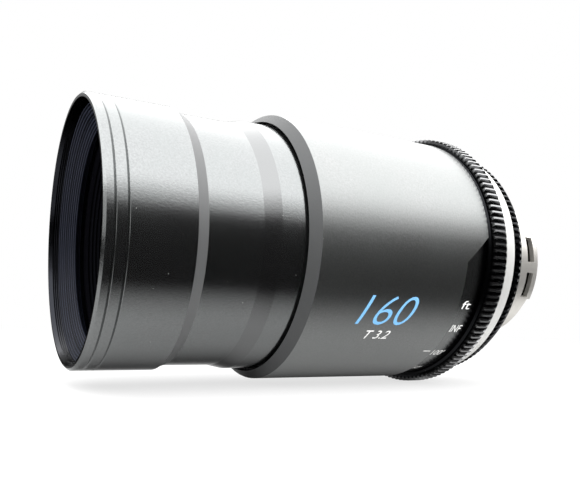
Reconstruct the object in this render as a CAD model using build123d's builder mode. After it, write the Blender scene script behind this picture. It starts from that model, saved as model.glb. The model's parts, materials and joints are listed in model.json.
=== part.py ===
from build123d import *
import os
from math import asin, cos, degrees, radians, sin, sqrt

# Cinema prime lens, millimetres. +X runs along the optical axis from the front rim to the camera mount,
# +Z is up, and the origin is the centre of the mount's flange seat.
# A station is a distance along the axis, measured back from the front rim.
# An angle is measured about +X, from +Y towards +Z.

# Fits and small standard values
running_fit = 0.08
seat_fit = 0.02
moving_gap = 0.3
overrun = 1.0
edge_break = 0.3

# Outside of the lens
flange_station = 194.0
front_step = 0.35
front_ring_length = 28.7
waist_depth = 1.32
front_cone_length = 4.0
waist_end_station = 51.9
rear_cone_length = 6.0
sleeve_radius = 51.25
collar_station = 67.1
collar_wall = 2.95
collar_gap = 1.15
collar_chamfer_length = 3.4
sleeve_end_station = 145.45

# Front ring
rim_chamfer = 0.8
rim_bevel = 1.0
rim_bevel_length = 1.4
rim_wall = 2.8
front_groove_stations = (3.4, 7.35)
front_groove_width = 0.9
front_groove_depth = 0.5
filter_thread_pitch = 0.75
filter_thread_depth = 0.35
filter_thread_turns = 3
cell_web_station = 12.4
cell_web_thickness = 1.0
cell_web_reach = 2.0

# Ribbed baffle
baffle_station = 3.9
baffle_lip_station = 9.2
baffle_depth = 5.7
baffle_lip_width = 0.5
baffle_rib_count = 8
baffle_rib_depth = 0.45
baffle_wall = 2.4

# Front barrel
front_ring_wall = 3.5
barrel_wall = 2.5
barrel_step_station = 88.0
barrel_guide_step = 4.23
barrel_guide_wall = 3.02
barrel_bore_end_station = 62.0
barrel_end_station = 128.0

# Guide tube, carrier ring and felt seal
guide_wall = 2.5
guide_station = 89.6
carrier_length = 4.6
guide_flange_station = 156.3
guide_flange_length = 3.0
guide_flange_reach = 2.5
felt_station = 70.8
felt_length = 3.0

# Focus drive
focus_far_deg = 13.0
focus_near_deg = 270.0
focus_travel = 15.0
follower_station = 118.0
follower_count = 3
follower_angle = 90.0
roller_radius = 2.0
roller_fit = 0.15
follower_pin_radius = 1.0
drum_wall = 2.3
drum_station = 94.8
drum_end_station = 133.9
washer_thickness = 0.4
rear_washer_thickness = 0.16
dowel_radius = 0.6
dowel_length = 4.0
dowel_count = 3
stop_station = 137.5
stop_pin_radius = 1.2
stop_groove_depth = 1.3
stop_angle = 300.0
stop_gap_deg = 0.3

# Focus gear and scale ring
gear_module = 0.8
tooth_root_share = 1.25
tooth_foot_share = 0.32
tooth_tip_share = 0.13
focus_gear_stand = 1.55
focus_gear_station = 146.0
focus_flank_step = 0.95
focus_tooth_station = 146.7
focus_tooth_end_station = 151.9
focus_gear_end_station = 156.0
focus_gear_end_step = 0.85
tooth_tip_bevel = 0.3
scale_ring_station = 134.3
scale_ring_step = 1.45
scale_ring_wall = 1.9
scale_ring_fit = 0.35
grub_radius = 1.0
grub_count = 3
grub_angle = 30.0
scale_grub_station = 144.2

# Window in the sleeve, over the focus scale
window_station = 134.8
window_deg = 88.2
window_centre_deg = 229.7
window_corner_deg = 11.6

# Ring between the gears and iris housing
middle_ring_stand = 1.2
middle_ring_end_station = 161.8
flange_screw_count = 6
flange_screw_inset = 1.6
flange_screw_radius = 0.8
flange_screw_head_radius = 1.4
flange_screw_head_length = 1.2
flange_screw_length = 4.4
iris_flange_width = 6.05
iris_housing_wall = 2.55
iris_housing_end_station = 172.0
iris_lip_thickness = 0.95
iris_lip_reach = 3.4

# Iris
iris_gear_depth = 6.05
iris_gear_station = 162.1
iris_tooth_end_station = 165.0
iris_gear_end_station = 168.6
iris_gear_end_wall = 4.65
iris_turn_deg = 50.0
blade_swing_deg = 38.0
blade_count = 9
blade_thickness = 0.15
blade_pitch = 0.3
blade_reach = 7.4
blade_width = 6.2
blade_span_deg = 100.0
blade_pivot_inset = 5.9
blade_pin_radius = 0.6
blade_boss_radius = 1.6
blade_drive_out = 0.4
blade_drive_back = 5.5
blade_slot_fit = 0.15
blade_slot_steps = 6
base_plate_thickness = 1.2
base_plate_margin = 0.4
blade_clearance = 0.3
rotor_thickness = 1.4
rotor_margin = 1.3
rotor_gap = 0.35
iris_pin_radius = 0.8
iris_pin_deg = -21.0
iris_pin_inset = 2.4
iris_pin_stand = 2.45

# Rear housing and mount
rear_housing_gap = 0.3
rear_housing_wall = 3.05
rear_housing_cone_station = 182.0
mount_neck_stand = 0.6
mount_ring_station = 185.5
housing_bore_inset = 0.1
housing_bore_station = 176.0
housing_relief_step = 0.05
housing_grub_station = 170.6
housing_grub_stand = 1.05
shim_thickness = 0.3
mount_base_wall = 5.2
mount_lug_stand = 1.8
mount_lug_count = 4
mount_lug_deg = 48.0
mount_lug_angle = 184.0
mount_pocket_station = 187.5
mount_pocket_end_station = 191.3
mount_pocket_depth = 2.6
mount_pocket_deg = 18.5
mount_post_deg = 8.0
mount_barrel_radius = 27.0
mount_barrel_length = 8.0
mount_barrel_wall = 1.4
mount_screw_count = 8
mount_screw_angle = 30.0
mount_screw_inset = 2.6
mount_screw_radius = 1.0
mount_screw_head_radius = 1.8
mount_screw_head_length = 1.6
mount_screw_length = 13.0
driver_radius = 0.6
driver_depth = 0.7

# Front cell and its glass
cell_flange_length = 1.5
cell_end_station = 60.0
cell_front_wall = 1.72
trap_station = 15.5
trap_pitch = 1.5
trap_depth = 0.7
trap_count = 10
glass_1_edge_wall = 1.7
glass_1_margin = 1.6
glass_1_station = 34.0
glass_1_rim = 4.0
glass_1_bulge = 5.0
cell_shoulder_length = 2.0
cell_shoulder_reach = 1.4
glass_2_step = 3.0
glass_2_rim = 3.0
glass_2_bulge = 1.6
glass_2_hollow = -2.0
glass_3_rim = 4.0
glass_3_bulge = 3.0
glass_3_rear_bulge = 2.0
front_spacer_length = 6.0
retainer_length = 2.8
notch_width = 2.0
notch_depth = 1.0

# Rear cell and its glass
rear_cell_station = 166.45
rear_cell_flange_length = 3.6
rear_cell_neck_station = 184.5
rear_cell_end_station = 198.0
rear_cell_shoulder_station = 181.6
rear_cell_shoulder_length = 2.0
rear_cell_shoulder_reach = 2.4
rear_cell_wall = 1.9
glass_4_margin = 1.6
glass_4_station = 170.0
glass_4_rim = 4.0
glass_4_hollow = -1.5
rear_spacer_length = 3.5
glass_5_bulge = 1.5
glass_6_step = 2.0
glass_6_margin = 1.6
glass_6_rim = 3.5
glass_6_bulge = 1.4
rear_retainer_length = 2.4
rear_baffle_station = 191.0
rear_baffle_thickness = 0.8
rear_baffle_length = 5.0
rear_baffle_side_inset = 8.0
rear_baffle_top_inset = 11.0
rear_baffle_corner = 3.0

# Radii worked out from the sleeve inwards, one wall or gap at a time
collar_bore_radius = sleeve_radius - collar_wall
barrel_radius = collar_bore_radius - collar_gap
waist_radius = barrel_radius - waist_depth
front_radius = barrel_radius + front_step
rim_bore_radius = front_radius - rim_wall
baffle_lip_radius = rim_bore_radius - baffle_depth
spigot_radius = front_radius - front_ring_wall
cell_web_bore_radius = spigot_radius - cell_web_reach
barrel_bore_radius = spigot_radius - barrel_wall
cell_radius = barrel_bore_radius - running_fit
cell_front_bore_radius = cell_radius - cell_front_wall
glass_1_radius = cell_front_bore_radius - glass_1_edge_wall
glass_1_clear_radius = glass_1_radius - glass_1_margin
glass_2_radius = glass_1_radius - glass_2_step
cell_shoulder_bore_radius = glass_2_radius - cell_shoulder_reach
barrel_guide_radius = barrel_radius - barrel_guide_step
barrel_rear_bore_radius = barrel_guide_radius - barrel_guide_wall
scale_ring_radius = sleeve_radius - scale_ring_step
focus_hub_radius = scale_ring_radius - scale_ring_wall
focus_flank_radius = sleeve_radius - focus_flank_step
focus_gear_end_radius = sleeve_radius - focus_gear_end_step
focus_teeth = round(2 * (sleeve_radius + focus_gear_stand) / gear_module)

# Worked out from the sizes above
guide_bore_radius = barrel_guide_radius + running_fit
guide_radius = guide_bore_radius + guide_wall
guide_flange_radius = guide_radius + guide_flange_reach
flange_screw_pitch_radius = guide_flange_radius - flange_screw_inset
middle_ring_radius = guide_flange_radius + middle_ring_stand
iris_housing_radius = guide_flange_radius - iris_flange_width
iris_housing_bore_radius = iris_housing_radius - iris_housing_wall
iris_lip_bore_radius = iris_housing_bore_radius - iris_lip_reach
iris_teeth = round(2 * (iris_housing_radius + iris_gear_depth) / gear_module)
iris_gear_end_radius = iris_housing_radius + iris_gear_end_wall
iris_pin_root_radius = iris_housing_bore_radius - iris_pin_inset
iris_pin_tip_radius = iris_housing_radius + iris_pin_stand
blade_pivot_radius = iris_housing_bore_radius - blade_pivot_inset
blade_inner_radius = blade_pivot_radius - blade_reach
base_plate_bore_radius = blade_inner_radius - base_plate_margin
rotor_bore_radius = blade_pivot_radius - rotor_margin
rear_housing_front_radius = iris_housing_radius + rear_housing_wall
mount_bore_radius = mount_barrel_radius - mount_barrel_wall
mount_screw_pitch_radius = mount_barrel_radius + mount_screw_inset
mount_base_radius = mount_barrel_radius + mount_base_wall
mount_lug_radius = mount_base_radius + mount_lug_stand
mount_neck_radius = mount_lug_radius + mount_neck_stand
housing_bore_radius = mount_barrel_radius - housing_bore_inset
housing_relief_radius = (rear_housing_front_radius + housing_bore_radius) / 2 + housing_relief_step
glass_4_radius = housing_bore_radius - rear_cell_wall
glass_4_clear_radius = glass_4_radius - glass_4_margin
glass_6_radius = glass_4_radius - glass_6_step
glass_6_clear_radius = glass_6_radius - glass_6_margin
rear_cell_shoulder_bore_radius = glass_6_radius - rear_cell_shoulder_reach
rear_baffle_width = 2 * (glass_6_radius - rear_baffle_side_inset)
rear_baffle_height = 2 * (glass_6_radius - rear_baffle_top_inset)
housing_grub_tip_radius = iris_housing_radius + housing_grub_stand
drum_bore_radius = guide_radius + running_fit
drum_radius = drum_bore_radius + drum_wall
spigot_station = cell_web_station + cell_web_thickness + cell_flange_length + 2 * seat_fit
front_cone_end_station = front_ring_length + front_cone_length
rear_cone_end_station = waist_end_station + rear_cone_length
mount_end_station = flange_station + mount_barrel_length
focus_turn_deg = focus_far_deg + focus_near_deg
travel_per_deg = focus_travel / focus_turn_deg
travel_in = travel_per_deg * focus_far_deg
travel_out = travel_per_deg * focus_near_deg
roller_tip_radius = drum_radius - moving_gap
base_plate_station = guide_flange_station + guide_flange_length + seat_fit + iris_lip_thickness
blade_station = base_plate_station + base_plate_thickness + blade_clearance
blade_stack_end = blade_station + (blade_count - 1) * blade_pitch + blade_thickness
rotor_station = blade_stack_end + rotor_gap
rear_housing_station = iris_gear_end_station + rear_housing_gap
iris_ring_bore_radius = iris_housing_radius + running_fit


def at(station):
    """Place along X of a station measured back from the front rim."""
    return station - flange_station


def half_plane(angle):
    """Half plane through the axis: local x along the axis, local y outwards at this angle."""
    outward = (0, cos(radians(angle)), sin(radians(angle)))
    return Plane(origin=(0, 0, 0), x_dir=(1, 0, 0), z_dir=(0, -outward[2], outward[1]))


def radial_plane(station, angle, radius):
    """Plane that faces outwards: local x along the axis, local y towards smaller angles."""
    outward = (0, cos(radians(angle)), sin(radians(angle)))
    origin = (at(station), radius * outward[1], radius * outward[2])
    return Plane(origin=origin, x_dir=(1, 0, 0), z_dir=outward)


def cross_plane(station):
    """Plane square to the axis that faces the mount: local x is +Y and local y is +Z."""
    return Plane.YZ.offset(at(station))


def polar(radius, angle):
    """Point on a circle in a cross plane."""
    return (radius * cos(radians(angle)), radius * sin(radians(angle)))


def spin(outline, mode=Mode.ADD, start=0, arc=360):
    """Turn a half outline of (place along X, radius) points about the optical axis."""
    with BuildSketch(half_plane(start)) as profile:
        with BuildLine():
            Polyline(*outline, close=True)
        make_face()
    revolve(profile.sketch, axis=Axis.X, revolution_arc=arc, mode=mode)


def band(front, rear, inner, outer, cut=0):
    """Half outline of a plain ring between two stations, with its outer corners cut."""
    points = [(at(front), inner)]
    if cut:
        points += [(at(front), outer - cut), (at(front + cut), outer)]
        points += [(at(rear - cut), outer), (at(rear), outer - cut)]
    else:
        points += [(at(front), outer), (at(rear), outer)]
    return points + [(at(rear), inner)]


def notch_groove(station, width, radius, depth):
    """V groove whose mouth lies on a surface of this radius; a negative depth cuts outwards."""
    half = width / 2
    over = overrun if depth > 0 else -overrun
    spread = half * (1 + overrun / abs(depth))
    mouth = radius + over
    return [(at(station - spread), mouth), (at(station), radius - depth), (at(station + spread), mouth)]


def radial_rod(station, angle, inner, outer, radius, mode=Mode.ADD):
    """Round rod or hole that points outwards from the axis."""
    with BuildSketch(radial_plane(station, angle, inner)) as profile:
        Circle(radius)
    extrude(profile.sketch, amount=outer - inner, mode=mode)


def axial_rods(front, rear, pitch_radius, radius, count, angle=0, mode=Mode.ADD):
    """Ring of round rods or holes along the axis."""
    with BuildSketch(cross_plane(front)) as profile:
        with PolarLocations(pitch_radius, count, start_angle=angle):
            Circle(radius)
    extrude(profile.sketch, amount=rear - front, mode=mode)


def spanner_notches(station, inner, outer, length):
    """Two slots across a ring's face for a spanner."""
    with BuildSketch(cross_plane(station)) as profile:
        with PolarLocations((inner + outer) / 2, 2):
            Rectangle(outer - inner + 2 * overrun, notch_width)
    extrude(profile.sketch, amount=length, mode=Mode.SUBTRACT)


def gear_blank(front, rear, teeth):
    """Straight toothed disc: four points make each tooth."""
    pitch_radius = gear_module * teeth / 2
    tip_radius = pitch_radius + gear_module
    root_radius = pitch_radius - tooth_root_share * gear_module
    step = 360 / teeth
    flank = ((root_radius, tooth_foot_share), (tip_radius, tooth_tip_share))
    tooth = [(r, -share) for r, share in flank] + [(r, share) for r, share in reversed(flank)]
    points = [polar(r, (n + share) * step) for n in range(teeth) for r, share in tooth]
    with BuildSketch(cross_plane(front)) as profile:
        with BuildLine():
            Polyline(*points, close=True)
        make_face()
    extrude(profile.sketch, amount=rear - front)


def arc_middle(vertex, bulge, radius):
    """Point half way out on the arc of a lens surface that starts at its vertex on the axis."""
    sphere = (radius ** 2 + bulge ** 2) / (2 * abs(bulge))
    drop = sphere - sqrt(sphere ** 2 - (radius / 2) ** 2)
    return (vertex + drop * (1 if bulge > 0 else -1), radius / 2)


def lens_element(station, rim, radius, clear, front_bulge, rear_bulge):
    """Ground glass element: a flat rim for its seats and a sphere or a flat on each side."""
    front = at(station)
    rear = at(station + rim)
    with BuildSketch(half_plane(0)) as profile:
        with BuildLine():
            front_centre = (front - front_bulge, 0)
            rear_centre = (rear + rear_bulge, 0)
            Line(front_centre, rear_centre)
            if rear_bulge:
                mirrored = arc_middle(-rear_centre[0], rear_bulge, clear)
                ThreePointArc(rear_centre, (-mirrored[0], mirrored[1]), (rear, clear))
            else:
                Line(rear_centre, (rear, clear))
            Polyline((rear, clear), (rear, radius), (front, radius), (front, clear))
            if front_bulge:
                middle = arc_middle(front_centre[0], front_bulge, clear)
                ThreePointArc((front, clear), middle, front_centre)
            else:
                Line((front, clear), front_centre)
        make_face()
    revolve(profile.sketch, axis=Axis.X)


def keep(piece, name):
    """Label a finished piece and write it."""
    piece.part.label = name
    export_step(piece.part, f"parts/{name}.step")


os.makedirs("parts", exist_ok=True)

# Front ring: rim, filter thread, seat for the baffle and web that clamps the front cell
thread_station = rim_bevel_length + filter_thread_pitch / 2
with BuildPart() as front_ring:
    spin([
        (at(0), rim_bore_radius + rim_bevel),
        (at(0), front_radius - rim_chamfer),
        (at(rim_chamfer), front_radius),
        (at(front_ring_length), front_radius),
        (at(front_ring_length), spigot_radius + seat_fit),
        (at(cell_web_station + cell_web_thickness), spigot_radius + seat_fit),
        (at(cell_web_station + cell_web_thickness), cell_web_bore_radius),
        (at(cell_web_station), cell_web_bore_radius),
        (at(cell_web_station), rim_bore_radius),
        (at(rim_bevel_length), rim_bore_radius),
    ])
    for station in front_groove_stations:
        spin(notch_groove(station, front_groove_width, front_radius, front_groove_depth), Mode.SUBTRACT)
    for turn in range(filter_thread_turns):
        place = thread_station + turn * filter_thread_pitch
        spin(notch_groove(place, filter_thread_pitch, rim_bore_radius, -filter_thread_depth), Mode.SUBTRACT)
keep(front_ring, "front_ring")

# Ribbed baffle: a steep cone of ridges that ends in a thin lip
rib_run = (baffle_lip_station - baffle_station) / baffle_rib_count
rib_drop = (rim_bore_radius - seat_fit - baffle_lip_radius) / baffle_rib_count
rib_points = []
for rib in range(baffle_rib_count):
    crest = (at(baffle_station + rib * rib_run), rim_bore_radius - seat_fit - rib * rib_drop)
    valley = (crest[0] + rib_run, crest[1] - rib_drop + baffle_rib_depth)
    rib_points += [crest, valley]
with BuildPart() as ribbed_baffle:
    spin(rib_points + [
        (at(baffle_lip_station), baffle_lip_radius),
        (at(baffle_lip_station + baffle_lip_width), baffle_lip_radius),
        (at(baffle_lip_station + baffle_lip_width), baffle_lip_radius + baffle_wall),
        (at(cell_web_station - seat_fit), cell_web_bore_radius + baffle_wall / 2),
        (at(cell_web_station - seat_fit), rim_bore_radius - seat_fit),
    ])
keep(ribbed_baffle, "ribbed_baffle")

# Front barrel: the two cones and the waist outside, and the long guided tail inside the sleeve
with BuildPart() as front_barrel:
    spin([
        (at(spigot_station), barrel_bore_radius),
        (at(spigot_station), spigot_radius),
        (at(front_ring_length + seat_fit), spigot_radius),
        (at(front_ring_length + seat_fit), front_radius - edge_break),
        (at(front_cone_end_station), waist_radius),
        (at(waist_end_station), waist_radius),
        (at(rear_cone_end_station), barrel_radius),
        (at(barrel_step_station), barrel_radius),
        (at(barrel_step_station), barrel_guide_radius),
        (at(barrel_end_station), barrel_guide_radius),
        (at(barrel_end_station), barrel_rear_bore_radius),
        (at(barrel_bore_end_station), barrel_rear_bore_radius),
        (at(barrel_bore_end_station), barrel_bore_radius),
    ])
    for n in range(follower_count):
        angle = follower_angle + n * 360 / follower_count
        radial_rod(follower_station, angle, barrel_rear_bore_radius - overrun,
                   barrel_guide_radius + overrun, follower_pin_radius + seat_fit, Mode.SUBTRACT)
keep(front_barrel, "front_barrel")

# Follower pins pressed into the barrel, with a roller on each
with BuildPart() as follower_pins:
    for n in range(follower_count):
        angle = follower_angle + n * 360 / follower_count
        radial_rod(follower_station, angle, barrel_rear_bore_radius + edge_break,
                   roller_tip_radius, follower_pin_radius)
keep(follower_pins, "follower_pins")

with BuildPart() as follower_rollers:
    for n in range(follower_count):
        angle = follower_angle + n * 360 / follower_count
        radial_rod(follower_station, angle, barrel_guide_radius + moving_gap, roller_tip_radius,
                   roller_radius)
        radial_rod(follower_station, angle, barrel_guide_radius, roller_tip_radius + overrun,
                   follower_pin_radius + seat_fit, Mode.SUBTRACT)
keep(follower_rollers, "follower_rollers")

# Front cell: flange, ridged light trap and two lens bores with a shoulder between them
cell_flange_station = cell_web_station + cell_web_thickness + seat_fit
glass_2_station = glass_1_station + glass_1_rim + cell_shoulder_length + 2 * seat_fit
glass_3_station = glass_2_station + glass_2_rim + front_spacer_length + 2 * seat_fit
with BuildPart() as front_cell:
    spin([
        (at(cell_flange_station), cell_front_bore_radius),
        (at(cell_flange_station), spigot_radius),
        (at(cell_flange_station + cell_flange_length), spigot_radius),
        (at(cell_flange_station + cell_flange_length), cell_radius),
        (at(cell_end_station), cell_radius),
        (at(cell_end_station), glass_2_radius + seat_fit),
        (at(glass_2_station - seat_fit), glass_2_radius + seat_fit),
        (at(glass_2_station - seat_fit), cell_shoulder_bore_radius),
        (at(glass_1_station + glass_1_rim + seat_fit), cell_shoulder_bore_radius),
        (at(glass_1_station + glass_1_rim + seat_fit), glass_1_radius + seat_fit),
        (at(glass_1_station), glass_1_radius + seat_fit),
        (at(glass_1_station), cell_front_bore_radius),
    ])
    for turn in range(trap_count):
        place = trap_station + turn * trap_pitch
        spin(notch_groove(place, trap_pitch, cell_front_bore_radius, -trap_depth), Mode.SUBTRACT)
keep(front_cell, "front_cell")

with BuildPart() as glass_1:
    lens_element(glass_1_station, glass_1_rim, glass_1_radius, glass_1_clear_radius, glass_1_bulge, 0)
keep(glass_1, "glass_1_front")

with BuildPart() as front_retainer:
    spin(band(glass_1_station - retainer_length, glass_1_station - seat_fit,
              glass_1_clear_radius + edge_break, cell_front_bore_radius - seat_fit))
    spanner_notches(glass_1_station - retainer_length, glass_1_clear_radius, cell_front_bore_radius,
                    notch_depth)
keep(front_retainer, "front_retainer")

with BuildPart() as glass_2:
    lens_element(glass_2_station, glass_2_rim, glass_2_radius, cell_shoulder_bore_radius - edge_break,
                 glass_2_bulge, glass_2_hollow)
keep(glass_2, "glass_2")

with BuildPart() as front_spacer:
    spin(band(glass_2_station + glass_2_rim + seat_fit, glass_3_station - seat_fit, cell_shoulder_bore_radius,
              glass_2_radius))
keep(front_spacer, "front_spacer")

with BuildPart() as glass_3:
    lens_element(glass_3_station, glass_3_rim, glass_2_radius, cell_shoulder_bore_radius - edge_break,
                 glass_3_bulge, glass_3_rear_bulge)
keep(glass_3, "glass_3")

inner_retainer_station = glass_3_station + glass_3_rim + seat_fit
with BuildPart() as inner_retainer:
    spin(band(inner_retainer_station, inner_retainer_station + retainer_length, cell_shoulder_bore_radius,
              glass_2_radius))
    spanner_notches(inner_retainer_station + retainer_length - notch_depth, cell_shoulder_bore_radius,
                    glass_2_radius, notch_depth)
keep(inner_retainer, "inner_retainer")

# Main sleeve: fixed outer tube with a chamfered collar, and a window over the focus scale
sleeve_rear_bore_radius = scale_ring_radius + scale_ring_fit
window_start = window_centre_deg - window_deg / 2
window_corner_width = radians(window_corner_deg) * sleeve_radius
window_length = sleeve_end_station - window_station
with BuildPart() as main_sleeve:
    spin([
        (at(collar_station), collar_bore_radius),
        (at(collar_station + collar_chamfer_length), sleeve_radius),
        (at(sleeve_end_station - edge_break), sleeve_radius),
        (at(sleeve_end_station), sleeve_radius - edge_break),
        (at(sleeve_end_station), sleeve_rear_bore_radius),
        (at(scale_ring_station - 2 * moving_gap), sleeve_rear_bore_radius),
        (at(scale_ring_station - 2 * moving_gap), collar_bore_radius),
    ])
    spin(band(window_station, sleeve_end_station + overrun, sleeve_rear_bore_radius - overrun,
              sleeve_radius + overrun), Mode.SUBTRACT, window_start, window_deg)
    for side in (-1, 1):
        edge_angle = window_centre_deg + side * window_deg / 2
        with BuildSketch(radial_plane(window_station, edge_angle, sleeve_rear_bore_radius - overrun)):
            with BuildLine():
                Polyline(
                    (0, side * edge_break),
                    (0, 0),
                    (window_length, -side * window_corner_width),
                    (window_length + overrun, -side * window_corner_width),
                    (window_length + overrun, side * edge_break),
                    close=True,
                )
            make_face()
        extrude(amount=sleeve_radius - sleeve_rear_bore_radius + 3 * overrun, mode=Mode.SUBTRACT)
keep(main_sleeve, "main_sleeve")

with BuildPart() as felt_seal:
    spin(band(felt_station, felt_station + felt_length, barrel_radius + moving_gap,
              collar_bore_radius - seat_fit))
keep(felt_seal, "felt_seal")

# Carrier ring holds the sleeve on the guide tube
with BuildPart() as carrier_ring:
    spin(band(guide_station, guide_station + carrier_length, guide_radius + seat_fit,
              collar_bore_radius - seat_fit, edge_break))
keep(carrier_ring, "carrier_ring")

# Guide tube: three straight slots keep the barrel from turning, and a rear flange takes the screws
slot_half_width = roller_radius + roller_fit
slot_front = follower_station - travel_out
slot_rear = follower_station + travel_in
with BuildPart() as guide_tube:
    spin([
        (at(guide_station), guide_bore_radius),
        (at(guide_station), guide_radius),
        (at(guide_flange_station), guide_radius),
        (at(guide_flange_station), guide_flange_radius),
        (at(guide_flange_station + guide_flange_length), guide_flange_radius),
        (at(guide_flange_station + guide_flange_length), guide_bore_radius),
    ])
    for n in range(follower_count):
        angle = follower_angle + n * 360 / follower_count
        with BuildSketch(radial_plane((slot_front + slot_rear) / 2, angle, guide_bore_radius - overrun)):
            SlotCenterToCenter(slot_rear - slot_front, 2 * slot_half_width)
        extrude(amount=guide_wall + 2 * overrun, mode=Mode.SUBTRACT)
    axial_rods(guide_flange_station, guide_flange_station + guide_flange_length, flange_screw_pitch_radius,
               flange_screw_radius + seat_fit, flange_screw_count, mode=Mode.SUBTRACT)
    axial_rods(guide_flange_station, guide_flange_station + flange_screw_head_length + edge_break,
               flange_screw_pitch_radius, flange_screw_head_radius + seat_fit, flange_screw_count,
               mode=Mode.SUBTRACT)
    radial_rod(stop_station, stop_angle, guide_bore_radius - overrun, guide_radius + overrun,
               stop_pin_radius + seat_fit, Mode.SUBTRACT)
keep(guide_tube, "guide_tube")

stop_groove_radius = drum_bore_radius + stop_groove_depth
with BuildPart() as focus_stop_pin:
    radial_rod(stop_station, stop_angle, guide_bore_radius + edge_break, stop_groove_radius - moving_gap,
               stop_pin_radius)
keep(focus_stop_pin, "focus_stop_pin")

# Cam drum: three helical slots drive the rollers along as it turns
slot_radius = (drum_bore_radius + drum_radius) / 2
with BuildLine() as slot_line:
    Helix(pitch=travel_per_deg * 360, height=focus_travel, radius=slot_radius, center=(at(slot_front), 0, 0),
          direction=(1, 0, 0), lefthand=True)
slot_path = slot_line.edge()
slot_start = slot_path @ 0
slot_start_plane = Plane(origin=slot_start, x_dir=(0, slot_start.Y, slot_start.Z), z_dir=slot_path % 0)
with BuildPart() as slot_cutter:
    with BuildSketch(slot_start_plane):
        Rectangle(drum_wall + 2 * overrun, 2 * slot_half_width)
    sweep(path=slot_path, is_frenet=True)
with BuildPart() as cam_drum:
    spin(band(drum_station, drum_end_station, drum_bore_radius, drum_radius))
    for n in range(follower_count):
        front_end = follower_angle + n * 360 / follower_count + focus_near_deg
        add(slot_cutter.part.rotate(Axis.X, front_end - 90), mode=Mode.SUBTRACT)
        for station, angle in ((slot_front, front_end), (slot_rear, front_end - focus_turn_deg)):
            radial_rod(station, angle, drum_bore_radius - overrun, drum_radius + overrun, slot_half_width,
                       Mode.SUBTRACT)
    axial_rods(drum_end_station - dowel_length / 2, drum_end_station, slot_radius, dowel_radius + seat_fit,
               dowel_count, mode=Mode.SUBTRACT)
keep(cam_drum, "cam_drum")

# Focus gear: hub, toothed rim and stop groove; the dowels pin the drum to its hub
hub_station = drum_end_station + seat_fit
focus_tip_radius = gear_module * focus_teeth / 2 + gear_module
with BuildPart() as focus_gear:
    gear_blank(focus_gear_station, focus_gear_end_station, focus_teeth)
    spin([
        (at(focus_gear_station), 0),
        (at(focus_gear_station), focus_flank_radius),
        (at(focus_tooth_station), focus_flank_radius + gear_module),
        (at(focus_tooth_station), focus_tip_radius - tooth_tip_bevel),
        (at(focus_tooth_station + tooth_tip_bevel), focus_tip_radius),
        (at(focus_tooth_end_station), focus_tip_radius),
        (at(focus_gear_end_station), focus_gear_end_radius),
        (at(focus_gear_end_station), 0),
    ], Mode.INTERSECT)
    spin(band(hub_station, focus_gear_station, 0, focus_hub_radius))
    spin(band(hub_station - overrun, focus_gear_end_station + overrun, 0, drum_bore_radius), Mode.SUBTRACT)
    stop_side_deg = degrees(asin((stop_pin_radius + seat_fit) / guide_radius)) + stop_gap_deg
    spin(band(stop_station - stop_pin_radius - moving_gap, stop_station + stop_pin_radius + moving_gap,
              guide_radius, stop_groove_radius), Mode.SUBTRACT,
         stop_angle - focus_far_deg - stop_side_deg, focus_turn_deg + 2 * stop_side_deg)
    axial_rods(hub_station, hub_station + dowel_length / 2, slot_radius, dowel_radius + seat_fit, dowel_count,
               mode=Mode.SUBTRACT)
    for n in range(grub_count):
        radial_rod(scale_grub_station, grub_angle + n * 360 / grub_count, focus_hub_radius - overrun,
                   focus_hub_radius + overrun, grub_radius + seat_fit, Mode.SUBTRACT)
keep(focus_gear, "focus_gear")

with BuildPart() as drum_dowels:
    axial_rods(drum_end_station - dowel_length / 2, hub_station + dowel_length / 2, slot_radius, dowel_radius,
               dowel_count)
keep(drum_dowels, "drum_dowels")

with BuildPart() as scale_ring:
    spin(band(scale_ring_station, focus_gear_station - seat_fit, focus_hub_radius + seat_fit,
              scale_ring_radius, edge_break))
    for n in range(grub_count):
        radial_rod(scale_grub_station, grub_angle + n * 360 / grub_count, focus_hub_radius - overrun,
                   scale_ring_radius + overrun, grub_radius + seat_fit, Mode.SUBTRACT)
keep(scale_ring, "scale_ring")

with BuildPart() as scale_grub_screws:
    for n in range(grub_count):
        angle = grub_angle + n * 360 / grub_count
        radial_rod(scale_grub_station, angle, focus_hub_radius - overrun + seat_fit,
                   scale_ring_radius - edge_break, grub_radius)
        radial_rod(scale_grub_station, angle, scale_ring_radius - edge_break - driver_depth,
                   scale_ring_radius, driver_radius, Mode.SUBTRACT)
keep(scale_grub_screws, "scale_grub_screws")

# Thin washers at the drum's front end and behind the focus gear
with BuildPart() as focus_washers:
    washer_end = drum_station - seat_fit
    spin(band(washer_end - washer_thickness, washer_end, drum_bore_radius, drum_radius))
    rear_washer_station = focus_gear_end_station + seat_fit
    spin(band(rear_washer_station, rear_washer_station + rear_washer_thickness, drum_bore_radius,
              guide_flange_radius))
keep(focus_washers, "focus_washers")

# Ring between the gears, screwed to the guide tube's flange
with BuildPart() as middle_ring:
    web_station = guide_flange_station + guide_flange_length + seat_fit
    spin(band(guide_flange_station, middle_ring_end_station, iris_housing_radius + seat_fit,
              middle_ring_radius, edge_break))
    spin(band(guide_flange_station - overrun, web_station, 0, guide_flange_radius + seat_fit), Mode.SUBTRACT)
    axial_rods(web_station, guide_flange_station + flange_screw_length + seat_fit, flange_screw_pitch_radius,
               flange_screw_radius + seat_fit, flange_screw_count, mode=Mode.SUBTRACT)
keep(middle_ring, "middle_ring")

with BuildPart() as flange_screws:
    head_station = guide_flange_station + edge_break
    axial_rods(head_station, head_station + flange_screw_head_length, flange_screw_pitch_radius,
               flange_screw_head_radius, flange_screw_count)
    axial_rods(head_station, guide_flange_station + flange_screw_length, flange_screw_pitch_radius,
               flange_screw_radius, flange_screw_count)
    axial_rods(head_station, head_station + driver_depth, flange_screw_pitch_radius, driver_radius,
               flange_screw_count, mode=Mode.SUBTRACT)
keep(flange_screws, "flange_screws")

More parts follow.
